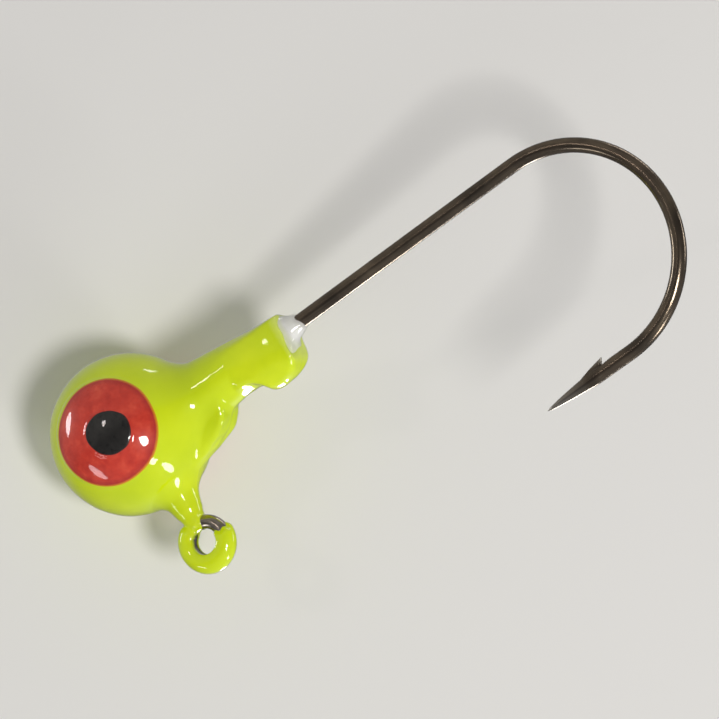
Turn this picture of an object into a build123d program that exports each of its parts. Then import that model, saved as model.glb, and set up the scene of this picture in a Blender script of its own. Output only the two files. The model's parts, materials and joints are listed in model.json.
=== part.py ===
from build123d import *
import math
import os

# Ball-head jig: a lead ball, collar and keeper barb cast round a right-angle
# jig hook, painted in layers.  Millimetres.
# +X nose, -X towards the hook's bend, +Z the side with the line eye and the
# hook's point, Y across the head (one painted eye on each side, left is +Y).
# The origin is the centre of the line eye.

# --- hook wire ----------------------------------------------------------------
WIRE_D = 0.76
EYE_LOOP_R = 1.00  # line eye, centre line of the loop
EYE_HOLE_D = 1.34  # coined land inside the loop, where the line bears
EYE_OPEN_DEG = -50.0  # where the loop's cut end stops, from the nose side
NECK_R = 0.62  # reverse bend that centres the loop over the leg
EYE_TO_SHANK = 6.40  # eye centre to shank centre line
CORNER_R = 1.20  # right-angle bend buried in the ball
BEND_R = 5.52  # round bend; the gap is twice this
BEND_APEX = 29.20  # leg to the back of the bend, centre line
POINT_BACK = 10.52  # back of the bend to the tip of the point
NEEDLE_LEN = 2.90  # length ground to the point
NEEDLE_TIP_R = 0.02
BARB_ROOT = 0.78  # root of the barb behind the tip, as a share of NEEDLE_LEN
BARB_LEN = 1.20  # sliver raised on the inside of the point
BARB_LIFT = 0.26
BARB_W = 0.32

WIRE_R = WIRE_D / 2
SHANK_Z = -EYE_TO_SHANK
BEND_X = -(BEND_APEX - BEND_R)
POINT_Z = SHANK_Z + 2 * BEND_R
TIP_X = -(BEND_APEX - POINT_BACK)
SHANK_AXIS = Axis((0, 0, SHANK_Z), (1, 0, 0))
POINT_AXIS = Axis((0, 0, POINT_Z), (1, 0, 0))

# the neck is tangent to the leg (x = 0) and, from outside, to the loop
NECK_Z = -math.sqrt(EYE_LOOP_R**2 + 2 * EYE_LOOP_R * NECK_R)
NECK_DEG = math.degrees(math.atan2(-NECK_Z, NECK_R))
LOOP_END_DEG = 180.0 + NECK_DEG

# --- lead casting: lengths behind the leg, heights above the shank's axis ------
BALL_R = 3.94
BALL_FWD, BALL_LOW = 0.57, 0.45  # its centre, ahead of the leg and below the shank
BALL_C = (BALL_FWD, 0, SHANK_Z - BALL_LOW)
COLLAR_START = 1.0  # front of the collar, inside the ball
COLLAR_AT, COLLAR_R = 4.65, 1.40  # where the collar leaves the ball, its radius there
COLLAR_END, COLLAR_END_R = 9.60, 0.68  # rear end of the lead
ROOT_R = 1.00  # concave blend between ball and collar
END_R = 0.25  # rounding of the rear end
KEEPER_W = 1.20  # half width of the keeper barb
KEEPER_PLAN_EXTRA = 0.08  # its plan oval is this much wider on each side
KEEPER_MID, KEEPER_L = 7.68, 2.32  # middle and half length of its plan oval
KEEPER_TOP = 2.07  # crest of the keeper barb
KEEPER_OVAL_Z = 0.36  # centre of its oval section
KEEPER_FOOT = 0.10  # bottom of its side outline
BOSS_R, BOSS_FOOT = 1.13, 3.05  # boss on the ball at the foot of the leg
BOSS_TOP_R, BOSS_TOP = 0.46, 4.60
GATE_W = 0.95  # half width of the stub left where the gate was nipped off
GATE_MID, GATE_H = 0.90, 2.00  # centre and half height of its oval section
GATE_FOOT = 0.40  # bottom of its side outline
PLATE_HALF = 3  # side outlines are extruded this far each way, then trimmed

# upper side of the keeper barb, (behind, above), steep towards the ball and
# sloping off to the rear: three arcs, each sharing its end point with the next
KEEPER_SIDE = [
    (6.05, 1.02), (6.95, 1.36),
    (7.36, 1.94), (7.63, KEEPER_TOP),
    (8.05, 2.04), (8.95, 1.66),
    (9.42, 0.80),
]
# upper side of the gate stub, (behind, above): a straight top, then one arc
GATE_TOP = [(1.55, 2.84), (3.45, 2.30)]
GATE_NIP = [(3.45, 2.30), (4.20, 1.90), (4.66, 1.10)]

# --- coats --------------------------------------------------------------------
BASE_T = 0.05  # white primer
COLOUR_T = 0.10  # chartreuse
CLEAR_T = 0.05  # gloss lacquer
DOT_T = 0.05  # each painted dot of the eyes
IRIS_R = 2.67
PUPIL_R = 1.12
DOT_FROM, DOT_DEPTH = 2.0, 4.0  # cylinder that cuts out a dot, outwards along Y
COLOUR_END = 9.42  # the colour stops here and leaves the primer showing
TAIL_START, TAIL_START_R = 9.18, 0.62  # primer drawn out on the shank
TAIL_R, TAIL_TIP_R, TAIL_END = 0.73, 0.45, 10.48
TAIL_DROP = 0.05  # fall of the tail's radius over its short shoulder
BASE_SHOULDER, CLEAR_SHOULDER = 0.25, 0.27  # shoulder lengths of the two tails
LEG_FROM = SHANK_Z + 3.0  # painted leg starts here, inside the casting
PRIMER_TOP_Z = -1.80  # primer stops here on the leg
LOOP_PAINT_DEG = 190.0  # the loop is bare from here down to the neck

PAINT_T = BASE_T + COLOUR_T
SKIN_R = BALL_R + PAINT_T  # painted ball under the eyes


def at(behind, above):
    """(x, z) of a point given behind the leg and above the shank's axis."""
    return (-behind, SHANK_Z + above)


# --- shapes added to, or cut from, the part being built -------------------------
def straight_run(start, end, radius):
    """A straight round bar from start to end, each given as (x, z)."""
    run = Vector(end[0] - start[0], 0, end[1] - start[1])
    with BuildSketch(Plane(origin=(start[0], 0, start[1]), z_dir=run)) as bar:
        Circle(radius)
    extrude(bar.sketch, amount=run.length)


def bent_run(centre, bend_r, start_deg, sweep_deg, radius):
    """A bent round bar; angles are from +X towards +Z round the bend's centre."""
    a = math.radians(start_deg)
    start = (centre[0] + bend_r * math.cos(a), 0, centre[1] + bend_r * math.sin(a))
    with BuildSketch(Plane(origin=start, z_dir=(-math.sin(a), 0, math.cos(a)))) as bar:
        Circle(radius)
    way = -1 if sweep_deg > 0 else 1
    revolve(
        bar.sketch,
        axis=Axis((centre[0], 0, centre[1]), (0, way, 0)),
        revolution_arc=abs(sweep_deg),
    )


def turned(axis, *points):
    """A solid of revolution from a closed outline of (x, z) points."""
    with BuildSketch(Plane.XZ) as outline:
        with BuildLine():
            Polyline(*points, close=True)
        make_face()
    revolve(outline.sketch, axis=axis)


def cut_eye_hole(half_depth):
    with BuildSketch(Plane.XZ) as hole:
        Circle(EYE_HOLE_D / 2)
    extrude(hole.sketch, amount=half_depth, both=True, mode=Mode.SUBTRACT)


def coat_wire(radius):
    """Paint up the leg, round the neck and over most of the loop."""
    straight_run((0, LEG_FROM), (0, NECK_Z), radius)
    bent_run((-NECK_R, NECK_Z), NECK_R, 0, NECK_DEG, radius)
    bent_run((0, 0), EYE_LOOP_R, EYE_OPEN_DEG, LOOP_PAINT_DEG - EYE_OPEN_DEG, radius)


# --- the hook, one piece of wire ------------------------------------------------
def make_hook():
    needle_x = TIP_X - NEEDLE_LEN
    with BuildPart() as hook:
        bent_run((0, 0), EYE_LOOP_R, EYE_OPEN_DEG, LOOP_END_DEG - EYE_OPEN_DEG, WIRE_R)
        bent_run((-NECK_R, NECK_Z), NECK_R, NECK_DEG, -NECK_DEG, WIRE_R)
        straight_run((0, NECK_Z), (0, SHANK_Z + CORNER_R), WIRE_R)
        bent_run((-CORNER_R, SHANK_Z + CORNER_R), CORNER_R, 0, -90, WIRE_R)
        straight_run((-CORNER_R, SHANK_Z), (BEND_X, SHANK_Z), WIRE_R)
        bent_run((BEND_X, SHANK_Z + BEND_R), BEND_R, -90, -180, WIRE_R)
        straight_run((BEND_X, POINT_Z), (needle_x, POINT_Z), WIRE_R)
        # ground needle point, slightly full in the middle
        turned(
            POINT_AXIS,
            (needle_x, POINT_Z),
            (needle_x, POINT_Z + WIRE_R),
            (TIP_X - NEEDLE_LEN * 0.5, POINT_Z + WIRE_R * 0.68),
            (TIP_X - NEEDLE_LEN * 0.2, POINT_Z + WIRE_R * 0.34),
            (TIP_X, POINT_Z + NEEDLE_TIP_R),
            (TIP_X, POINT_Z),
        )
        # barb lifted from the inside of the wire, its tip towards the bend
        root_x = TIP_X - NEEDLE_LEN * BARB_ROOT
        with BuildSketch(Plane.XZ):
            with BuildLine():
                Polyline(
                    (root_x, POINT_Z - WIRE_R * 0.80),
                    (root_x - BARB_LEN, POINT_Z - WIRE_R - BARB_LIFT),
                    (root_x - BARB_LEN * 0.66, POINT_Z - WIRE_R * 0.75),
                    (root_x, POINT_Z - WIRE_R * 0.30),
                    close=True,
                )
            make_face()
        extrude(amount=BARB_W / 2, both=True)
        cut_eye_hole(WIRE_D)
    return hook.part


# --- the head's outline, every surface moved outwards by grow --------------------
def ball_and_collar(grow):
    """Ball and tapering collar, blended where they meet."""
    # the taper is the line normal_x * behind + normal_z * above = line_offset
    taper = math.atan2(COLLAR_R - COLLAR_END_R, COLLAR_END - COLLAR_AT)
    normal_x, normal_z = math.sin(taper), math.cos(taper)
    line_offset = normal_x * COLLAR_AT + normal_z * COLLAR_R
    normal_deg = math.degrees(math.atan2(normal_z, normal_x))
    # centre of the rounding at the rear end
    round_behind = COLLAR_END - END_R
    round_above = (line_offset - END_R - normal_x * round_behind) / normal_z

    def on_rounding(deg):
        angle = math.radians(deg)
        reach = END_R + grow
        return at(
            round_behind + reach * math.cos(angle),
            round_above + reach * math.sin(angle),
        )

    with BuildPart() as body:
        with BuildSketch(Plane.XZ):
            with BuildLine():
                start = at(
                    COLLAR_START,
                    (line_offset + grow - normal_x * COLLAR_START) / normal_z,
                )
                corner = ThreePointArc(
                    on_rounding(normal_deg), on_rounding(normal_deg / 2), on_rounding(0)
                )
                Line(start, corner @ 0)
                Line(corner @ 1, at(COLLAR_END + grow, 0))
                Line(at(COLLAR_END + grow, 0), at(COLLAR_START, 0))
                Line(at(COLLAR_START, 0), start)
            make_face()
        revolve(axis=SHANK_AXIS)
        with Locations(BALL_C):
            Sphere(BALL_R + grow)
        # the edge where the collar leaves the ball, picked by size and place
        root = [
            edge
            for edge in body.edges()
            if edge.bounding_box().size.Y > 1.5
            and -4.8 < edge.bounding_box().center().X < -2.0
        ]
        fillet(root, ROOT_R - grow)
    return body.part


def keeper_barb(grow):
    """Side outline trimmed to an oval across the head and an oval in plan."""
    front, rear = KEEPER_SIDE[0], KEEPER_SIDE[-1]
    with BuildPart() as keeper:
        with BuildSketch(Plane.XZ):
            with BuildLine():
                for i in (0, 2, 4):
                    ThreePointArc(*[at(*point) for point in KEEPER_SIDE[i : i + 3]])
                Polyline(
                    at(*rear), at(rear[0], KEEPER_FOOT), at(front[0], KEEPER_FOOT), at(*front)
                )
            make_face()
            if grow:
                offset(amount=grow, mode=Mode.REPLACE)
        extrude(amount=PLATE_HALF, both=True)
        with BuildSketch(Plane.YZ.offset(-12)):
            with Locations((0, SHANK_Z + KEEPER_OVAL_Z)):
                Ellipse(KEEPER_W + grow, KEEPER_TOP - KEEPER_OVAL_Z + grow)
        extrude(amount=10, mode=Mode.INTERSECT)
        with BuildSketch(Plane.XY.offset(SHANK_Z - 1)):
            with Locations((-KEEPER_MID, 0)):
                Ellipse(KEEPER_L + grow, KEEPER_W + KEEPER_PLAN_EXTRA + grow)
        extrude(amount=5, mode=Mode.INTERSECT)
    return keeper.part


def gate_stub(grow):
    """Stub of the casting gate, between the leg and the collar."""
    front, rear = GATE_TOP[0], GATE_NIP[-1]
    with BuildPart() as gate:
        with BuildSketch(Plane.XZ):
            with BuildLine():
                Line(*[at(*point) for point in GATE_TOP])
                ThreePointArc(*[at(*point) for point in GATE_NIP])
                Polyline(
                    at(*rear), at(rear[0], GATE_FOOT), at(front[0], GATE_FOOT), at(*front)
                )
            make_face()
            if grow:
                offset(amount=grow, mode=Mode.REPLACE)
        extrude(amount=PLATE_HALF, both=True)
        with BuildSketch(Plane.YZ.offset(-6)):
            with Locations((0, SHANK_Z + GATE_MID)):
                Ellipse(GATE_W + grow, GATE_H + grow)
        extrude(amount=6, mode=Mode.INTERSECT)
    return gate.part


def head_envelope(grow):
    with BuildPart() as envelope:
        add(keeper_barb(grow))
        add(ball_and_collar(grow))
        # boss at the foot of the leg
        turned(
            Axis.Z,
            at(0, BOSS_FOOT),
            (BOSS_R + grow, SHANK_Z + BOSS_FOOT),
            (BOSS_TOP_R + grow, SHANK_Z + BOSS_TOP + grow),
            at(0, BOSS_TOP + grow),
        )
        add(gate_stub(grow))
    return envelope.part


# --- painted bodies, each solid right through ------------------------------------
def make_primer_body():
    """Primer up the leg and drawn out along the shank."""
    with BuildPart() as body:
        add(head_envelope(BASE_T))
        straight_run((0, LEG_FROM), (0, PRIMER_TOP_Z), WIRE_R + BASE_T)
        turned(
            SHANK_AXIS,
            at(TAIL_START, 0),
            at(TAIL_START, TAIL_START_R),
            at(COLLAR_END, TAIL_R),
            at(COLLAR_END + BASE_SHOULDER, TAIL_R - TAIL_DROP),
            at(TAIL_END, TAIL_TIP_R),
            at(TAIL_END, 0),
        )
    return body.part


def make_colour_body():
    """Chartreuse, cut off square short of the collar's rear end."""
    with BuildPart() as body:
        add(head_envelope(PAINT_T))
        with BuildSketch(Plane.YZ.offset(-COLOUR_END)):
            with Locations((0, SHANK_Z)):
                Rectangle(8, 8)
        extrude(amount=-4, mode=Mode.SUBTRACT)
        coat_wire(WIRE_R + PAINT_T)
        cut_eye_hole(2)
    return body.part


def eye_dot(side, dot_r, ball_r, under_r=0):
    """A round dot on the ball, side +1 (+Y) or -1 (-Y), hollowed to under_r if given."""
    with BuildPart() as dot:
        with BuildSketch(Plane.XZ.offset(-side * DOT_FROM)):
            with Locations((BALL_C[0], BALL_C[2])):
                Circle(dot_r)
        extrude(amount=-side * DOT_DEPTH)
        with Locations(BALL_C):
            Sphere(ball_r, mode=Mode.INTERSECT)
            if under_r:
                Sphere(under_r, mode=Mode.SUBTRACT)
    return dot.part


def make_clear_body():
    """Lacquer over everything painted."""
    with BuildPart() as body:
        add(head_envelope(PAINT_T + CLEAR_T))
        turned(
            SHANK_AXIS,
            at(TAIL_START, 0),
            at(TAIL_START, TAIL_START_R),
            at(COLLAR_END, TAIL_R + CLEAR_T),
            at(COLLAR_END + CLEAR_SHOULDER, TAIL_R - TAIL_DROP + CLEAR_T),
            at(TAIL_END + CLEAR_T, TAIL_TIP_R + CLEAR_T),
            at(TAIL_END + 2 * CLEAR_T, TAIL_TIP_R),
            at(TAIL_END + 2 * CLEAR_T, 0),
        )
        coat_wire(WIRE_R + PAINT_T + CLEAR_T)
        for side in (1, -1):
            add(eye_dot(side, IRIS_R + CLEAR_T, SKIN_R + DOT_T + CLEAR_T))
            add(eye_dot(side, PUPIL_R + CLEAR_T, SKIN_R + 2 * DOT_T + CLEAR_T))
        cut_eye_hole(2)
    return body.part


def without(body, *inner_parts):
    """What is left of a body once the parts inside it are taken out."""
    with BuildPart() as rest:
        add(body)
        for inner in inner_parts:
            add(inner, mode=Mode.SUBTRACT)
    return rest.part


# --- build and write every piece --------------------------------------------------
hook = make_hook()
core = head_envelope(0)
primer_body = make_primer_body()
colour_body = make_colour_body()

dots = {}
for side, hand in ((1, "left"), (-1, "right")):
    dots[f"iris_{hand}"] = eye_dot(side, IRIS_R, SKIN_R + DOT_T, SKIN_R)
for side, hand in ((1, "left"), (-1, "right")):
    dots[f"pupil_{hand}"] = eye_dot(side, PUPIL_R, SKIN_R + 2 * DOT_T, SKIN_R + DOT_T)

pieces = {
    "hook": hook,
    "head_casting": without(core, hook),
    "base_coat": without(primer_body, core, hook),
    "colour_coat": without(colour_body, primer_body, core, hook),
    **dots,
    "clear_coat": without(
        make_clear_body(), colour_body, primer_body, core, hook, *dots.values()
    ),
}

os.makedirs("parts", exist_ok=True)
for name, piece in pieces.items():
    piece.label = name
    export_step(piece, f"parts/{name}.step")
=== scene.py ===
import bpy
import json
import math
import numpy as np
from mathutils import Matrix, Vector


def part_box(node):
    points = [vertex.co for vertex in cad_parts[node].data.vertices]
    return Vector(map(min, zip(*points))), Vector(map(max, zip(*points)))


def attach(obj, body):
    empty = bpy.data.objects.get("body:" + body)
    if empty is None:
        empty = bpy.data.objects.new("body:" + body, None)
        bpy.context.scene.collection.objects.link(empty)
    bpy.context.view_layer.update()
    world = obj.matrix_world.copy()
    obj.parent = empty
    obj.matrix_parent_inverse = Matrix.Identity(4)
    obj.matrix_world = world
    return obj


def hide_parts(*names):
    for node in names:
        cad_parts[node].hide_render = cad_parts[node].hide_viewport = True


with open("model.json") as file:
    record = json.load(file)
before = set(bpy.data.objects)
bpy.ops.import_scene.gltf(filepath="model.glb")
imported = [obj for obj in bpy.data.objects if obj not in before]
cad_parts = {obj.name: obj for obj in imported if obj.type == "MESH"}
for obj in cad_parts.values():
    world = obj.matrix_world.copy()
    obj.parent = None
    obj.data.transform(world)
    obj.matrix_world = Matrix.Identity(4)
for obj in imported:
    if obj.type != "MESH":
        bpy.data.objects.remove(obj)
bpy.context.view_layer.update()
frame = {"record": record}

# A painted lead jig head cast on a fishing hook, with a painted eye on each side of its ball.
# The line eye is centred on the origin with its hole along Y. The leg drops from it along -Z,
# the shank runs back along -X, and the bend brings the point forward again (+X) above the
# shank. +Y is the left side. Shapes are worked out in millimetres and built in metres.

MM = 0.001


# ---------------------------------------------------------------------------
# sizes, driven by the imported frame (millimetres, radians)
# ---------------------------------------------------------------------------
def box_mm(node):
    low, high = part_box(node)
    return [c / MM for c in low], [c / MM for c in high]


hook_low, hook_high = box_mm("hook")
lead_low, lead_high = box_mm("head_casting")
iris_low, iris_high = box_mm("iris_left")
pupil_low, pupil_high = box_mm("pupil_left")
clear_low, clear_high = box_mm("clear_coat")

# hook wire, along its centre line
WIRE_R = hook_high[1]
SHANK_Z = hook_low[2] + WIRE_R
LOOP_R = hook_high[0] - WIRE_R         # the line eye
HOLE_R = next(m for m in frame["record"]["mounts"] if m["name"] == "line_eye")["dims"]["r_mm"]
APEX_X = hook_low[0] + WIRE_R          # rearmost place of the bend
POINT_Z = hook_high[2] - WIRE_R
BEND_R = (POINT_Z - SHANK_Z) / 2
BEND_X = APEX_X + BEND_R
TIP_X = APEX_X + 10.52
NECK_R = 0.62                          # turn from the line eye into the leg
CORNER_R = 1.20                        # turn from the leg into the shank
NEEDLE = 2.90                          # length ground to a point
NECK_Z = -math.sqrt(LOOP_R**2 + 2 * LOOP_R * NECK_R)
NECK_A = math.atan2(-NECK_Z, NECK_R)
OPEN_A = math.radians(-50.0)           # cut end of the line eye
LOOP_END_A = math.pi + NECK_A

# casting
BALL_R = lead_high[1]
BALL_X = (iris_low[0] + iris_high[0]) / 2
BALL_Z = (iris_low[2] + iris_high[2]) / 2
BALL_CENTRE = np.array([BALL_X, 0.0, BALL_Z])
BALL_BLEND = 0.85                      # ball into collar
COLLAR_R, COLLAR_AT = 1.40, 4.65       # a radius of the cone, and its distance back
COLLAR_END_R, COLLAR_END = 0.68, -lead_low[0]
COLLAR_EDGE = 0.35                     # rounding of its rear edge
COLLAR_TAPER = math.atan2(COLLAR_R - COLLAR_END_R, COLLAR_END - COLLAR_AT)
TAPER_SIN, TAPER_COS = math.sin(COLLAR_TAPER), math.cos(COLLAR_TAPER)
COLLAR_OFFSET = TAPER_SIN * COLLAR_AT + TAPER_COS * COLLAR_R

# paint: film thicknesses, and how far back each coat reaches
BASE_T, COLOUR_T, CLEAR_T, DOT_T = 0.05, 0.10, 0.05, 0.05
COLOUR_EXTRA = 0.03                    # colour laid on fuller, leaving the lacquer thinner
SKIN_R = BALL_R + BASE_T + COLOUR_T
COLOUR_END = -box_mm("colour_coat")[0][0]
TAIL_END = -box_mm("base_coat")[0][0]
TAIL_R = 0.75                          # primer tail, where it leaves the collar
PAINT_END_A = math.radians(190.0) - 0.04   # where the film ends round the line eye

# painted dots, with their (x, z) offsets on the ball by side (+1 left, -1 right)
IRIS_R = (iris_high[0] - iris_low[0]) / 2
PUPIL_R = (pupil_high[0] - pupil_low[0]) / 2
IRIS_AT = {-1: (-0.20, 0.13), 1: (0.05, -0.06)}
PUPIL_AT = {-1: (-0.53, 0.38), 1: (-0.10, -0.12)}

STEP = 0.056   # grid pitch of the meshed fields


# ---------------------------------------------------------------------------
# field helpers: signed distances, negative inside
# ---------------------------------------------------------------------------
def wobble(points, freq, seed, count=7):
    """Smooth deterministic noise, about -1 to 1, freq in radians per mm."""
    random = np.random.RandomState(seed)
    ways = random.normal(size=(count, 3))
    ways /= np.linalg.norm(ways, axis=1)[:, None]
    freqs = freq * (0.6 + 0.9 * random.rand(count))
    phases = random.rand(count) * 6.283
    out = np.zeros(len(points))
    for k in range(count):
        out += np.sin(points @ (ways[k] * freqs[k]) + phases[k])
    return out / math.sqrt(count) * 0.9


def waves(angle, *terms):
    """Sum of sines round a circle; terms are (height, count, phase)."""
    return sum(height * np.sin(count * angle + phase) for height, count, phase in terms)


def fuse(a, b, radius):
    """Union with a round concave blend."""
    ua, ub = np.maximum(radius - a, 0), np.maximum(radius - b, 0)
    return np.maximum(radius, np.minimum(a, b)) - np.sqrt(ua * ua + ub * ub)


def overlap(a, b, radius):
    """Intersection with a rounded edge."""
    ua, ub = np.maximum(radius + a, 0), np.maximum(radius + b, 0)
    return np.minimum(-radius, np.maximum(a, b)) + np.sqrt(ua * ua + ub * ub)


def smooth(start, end, x):
    t = np.clip((x - start) / (end - start), 0, 1)
    return t * t * (3 - 2 * t)


def arc_through(p, q, s, count):
    """Points along the circular arc through p, q and s."""
    (ax, ay), (bx, by), (cx, cy) = p, q, s
    aa, bb, cc = ax**2 + ay**2, bx**2 + by**2, cx**2 + cy**2
    d = 2 * (ax * (by - cy) + bx * (cy - ay) + cx * (ay - by))
    ux = (aa * (by - cy) + bb * (cy - ay) + cc * (ay - by)) / d
    uy = (aa * (cx - bx) + bb * (ax - cx) + cc * (bx - ax)) / d
    radius = math.hypot(ax - ux, ay - uy)
    start, middle, end = (math.atan2(y - uy, x - ux) for x, y in (p, q, s))
    middle = start + (middle - start + math.pi) % (2 * math.pi) - math.pi
    end = middle + (end - middle + math.pi) % (2 * math.pi) - math.pi
    t = np.linspace(start, end, count)
    return np.c_[ux + radius * np.cos(t), uy + radius * np.sin(t)]


def polygon_dist(points, outline):
    """Signed distance to a closed 2D outline."""
    best = np.full(len(points), 1e9)
    inside = np.zeros(len(points), bool)
    x, y = points[:, 0], points[:, 1]
    for (ax, ay), (bx, by) in zip(outline, np.roll(outline, -1, 0)):
        ex, ey = bx - ax, by - ay
        t = np.clip(((x - ax) * ex + (y - ay) * ey) / (ex * ex + ey * ey), 0, 1)
        best = np.minimum(best, (x - ax - t * ex) ** 2 + (y - ay - t * ey) ** 2)
        if ay != by:
            inside ^= ((ay > y) != (by > y)) & (x < (bx - ax) * (y - ay) / (by - ay) + ax)
    dist = np.sqrt(best)
    return np.where(inside, -dist, dist)


def ellipse_dist(u, v, a, b):
    k0 = np.sqrt((u / a) ** 2 + (v / b) ** 2) + 1e-9
    k1 = np.sqrt((u / a**2) ** 2 + (v / b**2) ** 2) + 1e-9
    return k0 * (k0 - 1) / k1


def arc_dist(points, centre, radius, start, end):
    """Distance to an arc in the hook's plane, and the angle along it."""
    x, z = points[:, 0] - centre[0], points[:, 2] - centre[1]
    middle = (start + end) / 2
    angle = middle + (np.arctan2(z, x) - middle + math.pi) % (2 * math.pi) - math.pi
    held = np.clip(angle, min(start, end), max(start, end))
    dx, dz = x - radius * np.cos(held), z - radius * np.sin(held)
    return np.sqrt(dx * dx + dz * dz + points[:, 1] ** 2), angle


def leg_dist(points, bottom, top):
    """Distance to the centre line of the leg between two heights."""
    x, y, z = points.T
    return np.sqrt(x * x + y * y + (z - np.clip(z, bottom, top)) ** 2)


def shank_coords(points):
    """Distance back from the line eye, y, and height above the shank."""
    return -points[:, 0], points[:, 1], points[:, 2] - SHANK_Z


# ---------------------------------------------------------------------------
# the casting
# ---------------------------------------------------------------------------
# side outlines: distance back from the line eye, height above the shank
GATE = np.vstack([
    np.array([[1.55, 2.84]]),
    arc_through((3.45, 2.30), (4.20, 1.90), (4.66, 1.10), 14),
    np.array([[4.66, 0.40], [1.55, 0.40]]),
])
KEEPER = np.vstack([
    arc_through((6.05, 1.02), (6.95, 1.36), (7.36, 1.94), 12),
    arc_through((7.36, 1.94), (7.63, 2.07), (8.05, 2.04), 8)[1:],
    arc_through((8.05, 2.04), (8.95, 1.66), (9.42, 0.80), 14)[1:],
    np.array([[9.42, -0.6], [6.05, -0.6]]),
])
# where each is worked out: range back, greatest |y|, range of height
GATE_REACH = (0.6, 5.8), 2.2, (0.4, 4.2)
KEEPER_REACH = (4.6, 10.6), 2.4, (-1.6, 3.3)


def keeper_shape(points, growth):
    """The keeper barb on the collar: a side outline rounded across and in plan."""
    back, y, height = shank_coords(points)
    side = polygon_dist(np.c_[back, height], KEEPER) - growth
    across = ellipse_dist(y, height - 0.36, 1.20, 1.71) - growth
    plan = ellipse_dist(back - 7.68, y, 2.32, 1.28) - growth
    return overlap(overlap(side, across, 0.24), plan, 0.24)


def gate_shape(points, growth):
    """Stub of the casting gate, nipped off a little unevenly."""
    back, y, height = shank_coords(points)
    rough = 0.035 * wobble(points, 3.2, 63) + 0.015 * wobble(points, 8.0, 64)
    side = polygon_dist(np.c_[back, height], GATE) - growth - rough
    across = ellipse_dist(y - 0.04, height - 0.90, 0.95, 2.00) - growth
    return overlap(side, across, 0.22)


def fuse_local(field, points, growth, shape, reach, radius):
    """Fuse a shape into the field, worked out only within its reach."""
    back, y, height = shank_coords(points)
    (back_low, back_high), widest, (low, high) = reach
    near = (back > back_low) & (back < back_high) & (np.abs(y) < widest)
    near &= (height > low) & (height < high)
    if near.any():
        field[near] = fuse(field[near], shape(points[near], growth[near]), radius)


def head_field(points, growth):
    """Ball, collar, keeper barb, gate stub and the boss round the leg, grown outwards."""
    back, y, height = shank_coords(points)
    around = np.sqrt(y * y + height * height)
    x, z = points[:, 0], points[:, 2]
    ball = np.sqrt((x - BALL_X) ** 2 + y * y + (z - BALL_Z) ** 2) - (BALL_R + growth)
    cone = TAPER_SIN * back + TAPER_COS * around - COLLAR_OFFSET - growth
    collar = overlap(cone, back - COLLAR_END - growth, COLLAR_EDGE)
    collar = np.maximum(collar, 1.0 - back)
    out = fuse(ball, collar, BALL_BLEND)
    fuse_local(out, points, growth, keeper_shape, KEEPER_REACH, 0.34)
    fuse_local(out, points, growth, gate_shape, GATE_REACH, 0.26)
    # the boss: a cone of radius 1.13 at 3.05 above the shank, with a flat top 1.55 higher
    radius = np.sqrt(x * x + y * y)
    rise = height - 3.05
    side = (radius - 1.13) * 0.9178 + rise * 0.3971 - growth
    boss = np.maximum(overlap(side, rise - 1.55 - growth, 0.2), -rise - 0.4)
    return fuse(out, boss, 0.45)


def parting_ridge(points):
    """Trace of the mould's parting line, in the hook's plane."""
    strength = 0.55 + 0.45 * wobble(points, 1.3, 12)
    return 0.018 * strength * np.exp(-((points[:, 1] / 0.10) ** 2))


def wire_dist(points):
    """Distance to the centre line of the wire inside the casting."""
    x, y, z = points.T
    leg = leg_dist(points, SHANK_Z + CORNER_R, NECK_Z)
    held = np.clip(x, BEND_X, -CORNER_R)
    shank = np.sqrt((x - held) ** 2 + y * y + (z - SHANK_Z) ** 2)
    centre = (-CORNER_R, SHANK_Z + CORNER_R)
    corner, _ = arc_dist(points, centre, CORNER_R, -math.pi / 2, 0.0)
    return np.minimum(np.minimum(leg, shank), corner)


def lead_field(points):
    """The casting: a slightly rippled skin, the parting line, and the hook's channel."""
    growth = (-0.014 + 0.006 * wobble(points, 2.2, 19) + 0.003 * wobble(points, 9.0, 23)
              + 0.8 * parting_ridge(points))
    return overlap(head_field(points, growth), WIRE_R - wire_dist(points), 0.03)


# ---------------------------------------------------------------------------
# the coats
# ---------------------------------------------------------------------------
def film_field(points, film):
    """Paint carried up the leg, round the neck and over most of the line eye."""
    x, y, z = points.T
    leg = leg_dist(points, SHANK_Z + 2.5, NECK_Z) - (WIRE_R + film)
    dist, angle = arc_dist(points, (-NECK_R, NECK_Z), NECK_R, 0.0, NECK_A)
    ragged = angle + 0.06 * wobble(points, 6.0, 77)
    fade = smooth(0.62 * NECK_A, 1.02 * NECK_A, ragged)
    neck = dist - (WIRE_R + film - (film + 0.06) * fade)
    dist, angle = arc_dist(points, (0, 0), LOOP_R, OPEN_A, LOOP_END_A)
    side = np.arctan2(y, np.sqrt(x * x + z * z) - LOOP_R)
    edge = PAINT_END_A + waves(side, (0.10, 2, 0.6), (0.05, 5, 0))
    # the film thins out on the rear quarter and is heavier opposite the leg
    cover = 1 - smooth(edge - 0.30, edge + 0.10, angle)
    heavy = 1 + 0.35 * np.exp(-(((angle - 1.35) / 0.8) ** 2))
    ring = dist - (WIRE_R + film * heavy * cover - 0.05 * (1 - cover))
    return fuse(fuse(leg, neck, 0.10), ring, 0.14)


def clear_hole(points, field):
    """Leave nothing in the hole of the line eye."""
    radius = np.sqrt(points[:, 0] ** 2 + points[:, 2] ** 2)
    hole = HOLE_R - 0.015 - radius + 0.008 * wobble(points, 3.0, 31)
    return overlap(field, hole, 0.06)


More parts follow.
